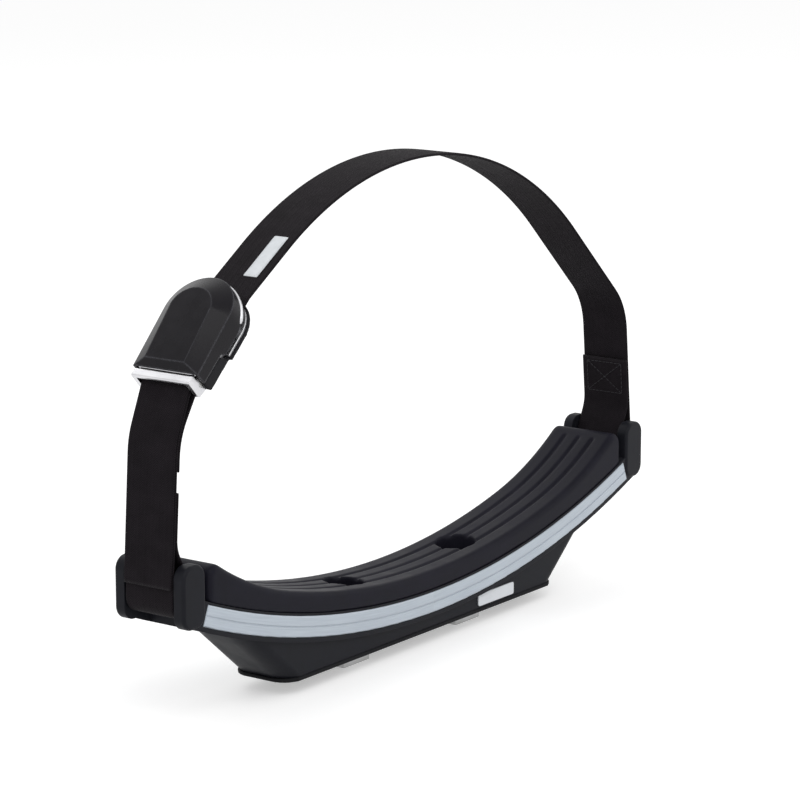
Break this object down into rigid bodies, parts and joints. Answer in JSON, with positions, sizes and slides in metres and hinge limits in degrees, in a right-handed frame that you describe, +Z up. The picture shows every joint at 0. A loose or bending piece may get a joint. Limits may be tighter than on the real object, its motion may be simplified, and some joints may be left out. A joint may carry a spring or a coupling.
{
  "type": "saddle kayak carrier",
  "caption": "Crescent saddle that carries a kayak on a roof bar: padded cradle on a flared foot with T bolts, and a webbing strap over the top with a cam buckle.",
  "frame": {"origin": "centre of the seat on the roof bar, at the gasket's underside", "axes": "+X along the roof bar, away from the buckle; +Y along the vehicle, away from the face with the badge; +Z up"},
  "size_m": [0.4923, 0.052, 0.3108],
  "materials": {
    "moulding": "fine grained black moulding",
    "rubber": "matt black rubber",
    "trim": "satin light grey",
    "badge": "bare white plate",
    "steel": "zinc plated",
    "webbing": "black woven polyester",
    "label": "bare white woven tab",
    "buckle": "satin cast metal",
    "boot": "soft black moulding",
    "cover": "smooth black moulding"
  },
  "bodies": {
    "saddle": {"cradle": "moulding", "foot": "moulding", "foot_gasket": "rubber", "saddle_pad": "rubber", "front_trim": "trim", "rear_trim": "trim", "badge": "badge", "t_bolts": "steel", "t_bolt_washers": "steel", "t_bolt_nuts": "steel", "foot_screws": "steel", "short_strap": "webbing", "long_strap": "webbing", "strap_label": "label", "buckle_frame": "buckle", "buckle_pad": "boot", "anchor_pin": "steel", "cam_pin": "steel", "cam_spring": "steel"},
    "lever": {"cam_lever": "buckle", "lever_cover": "cover"}
  },
  "joints": [
    {"name": "lever_press", "type": "hinge", "parent": "saddle", "child": "lever", "pos_m": [-0.19999, 0, 0.2212], "axis": [0, 1, 0], "range_deg": [0, 10], "stiffness_Nm_per_rad": 0.2, "springref_deg": -28.65, "deforming": ["cam_spring"]}
  ]
}
